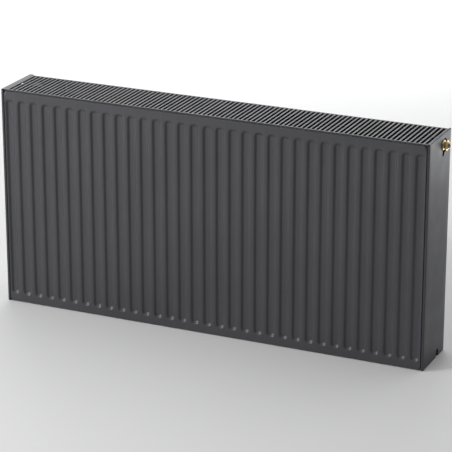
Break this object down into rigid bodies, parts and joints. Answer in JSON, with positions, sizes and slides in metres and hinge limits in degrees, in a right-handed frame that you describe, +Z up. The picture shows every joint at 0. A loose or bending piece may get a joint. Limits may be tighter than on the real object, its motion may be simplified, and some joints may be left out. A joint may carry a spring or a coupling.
{
  "type": "panel radiator with valve",
  "caption": "Steel panel radiator with upright pressed channels, slotted top grille, side covers and a built-in thermostatic valve at the upper right.",
  "frame": {"origin": "middle of the overall box, at its lower face", "axes": "-Y front face, +Y wall, +X valve side, +Z up"},
  "size_m": [1.1366, 0.155, 0.557],
  "materials": {
    "anthracite_enamel": "satin anthracite powder coat",
    "convector_enamel": "satin anthracite coat, thin",
    "casing_enamel": "satin anthracite powder coat",
    "spring_steel": "zinc plated",
    "brass": "turned",
    "nickelled_brass": "nickel plated",
    "stainless_steel": "ground",
    "black_plastic": "moulded",
    "white_plastic": "moulded",
    "black_rubber": "moulded"
  },
  "bodies": {
    "radiator": {"front_panel_outer_sheet": "anthracite_enamel", "front_panel_inner_sheet": "anthracite_enamel", "middle_panel_front_sheet": "anthracite_enamel", "middle_panel_back_sheet": "anthracite_enamel", "rear_panel_front_sheet": "anthracite_enamel", "rear_panel_back_sheet": "anthracite_enamel", "valve_tee": "anthracite_enamel", "lower_right_tee": "anthracite_enamel", "vent_tee": "anthracite_enamel", "lower_left_tee": "anthracite_enamel", "header_spacers": "anthracite_enamel", "flow_socket": "anthracite_enamel", "return_socket": "anthracite_enamel", "riser_pipe": "anthracite_enamel", "upper_lugs": "anthracite_enamel", "lower_lugs": "anthracite_enamel", "front_convector": "convector_enamel", "middle_convector": "convector_enamel", "rear_convector": "convector_enamel", "valve_spring": "spring_steel", "valve_insert_body": "brass", "gland_bush": "brass", "vent_plug_body": "nickelled_brass", "lower_left_blind_plug": "nickelled_brass", "lower_right_blind_plug": "nickelled_brass", "stem_o_ring": "black_rubber", "insert_o_ring": "black_rubber", "vent_o_ring": "black_rubber", "lower_left_plug_o_ring": "black_rubber", "lower_right_plug_o_ring": "black_rubber"},
    "grille": {"top_grille": "casing_enamel", "grille_clips": "spring_steel"},
    "right_cover": {"right_side_cover": "casing_enamel", "right_cover_clips": "spring_steel"},
    "left_cover": {"left_side_cover": "casing_enamel", "left_cover_clips": "spring_steel"},
    "valve_pin": {"valve_stem": "stainless_steel", "valve_cone": "black_rubber"},
    "presetting_ring": {"presetting_ring": "black_plastic"},
    "vent_nozzle": {"vent_nozzle": "white_plastic"},
    "bleed_screw": {"bleed_screw": "brass"}
  },
  "joints": [
    {"name": "grille_lift", "type": "slide", "parent": "radiator", "child": "grille", "axis": [0, 0, 1], "range_m": [0, 0.08]},
    {"name": "right_cover_pull", "type": "slide", "parent": "radiator", "child": "right_cover", "axis": [1, 0, 0], "range_m": [0, 0.06]},
    {"name": "left_cover_pull", "type": "slide", "parent": "radiator", "child": "left_cover", "axis": [-1, 0, 0], "range_m": [0, 0.06]},
    {"name": "valve_press", "type": "slide", "parent": "radiator", "child": "valve_pin", "axis": [-1, 0, 0], "range_m": [0, 0.003], "stiffness_N_per_m": 1500, "springref_m": -0.004, "deforming": ["valve_spring"]},
    {"name": "presetting_turn", "type": "hinge", "parent": "radiator", "child": "presetting_ring", "pos_m": [0.56425, 0.0265, 0.527], "axis": [1, 0, 0], "range_deg": [0, 315]},
    {"name": "nozzle_turn", "type": "hinge", "parent": "radiator", "child": "vent_nozzle", "pos_m": [-0.56385, 0.0265, 0.527], "axis": [-1, 0, 0], "continuous": true},
    {"name": "bleed_turn", "type": "hinge", "parent": "radiator", "child": "bleed_screw", "pos_m": [-0.56675, 0.0265, 0.527], "axis": [-1, 0, 0], "range_deg": [0, 360]}
  ]
}
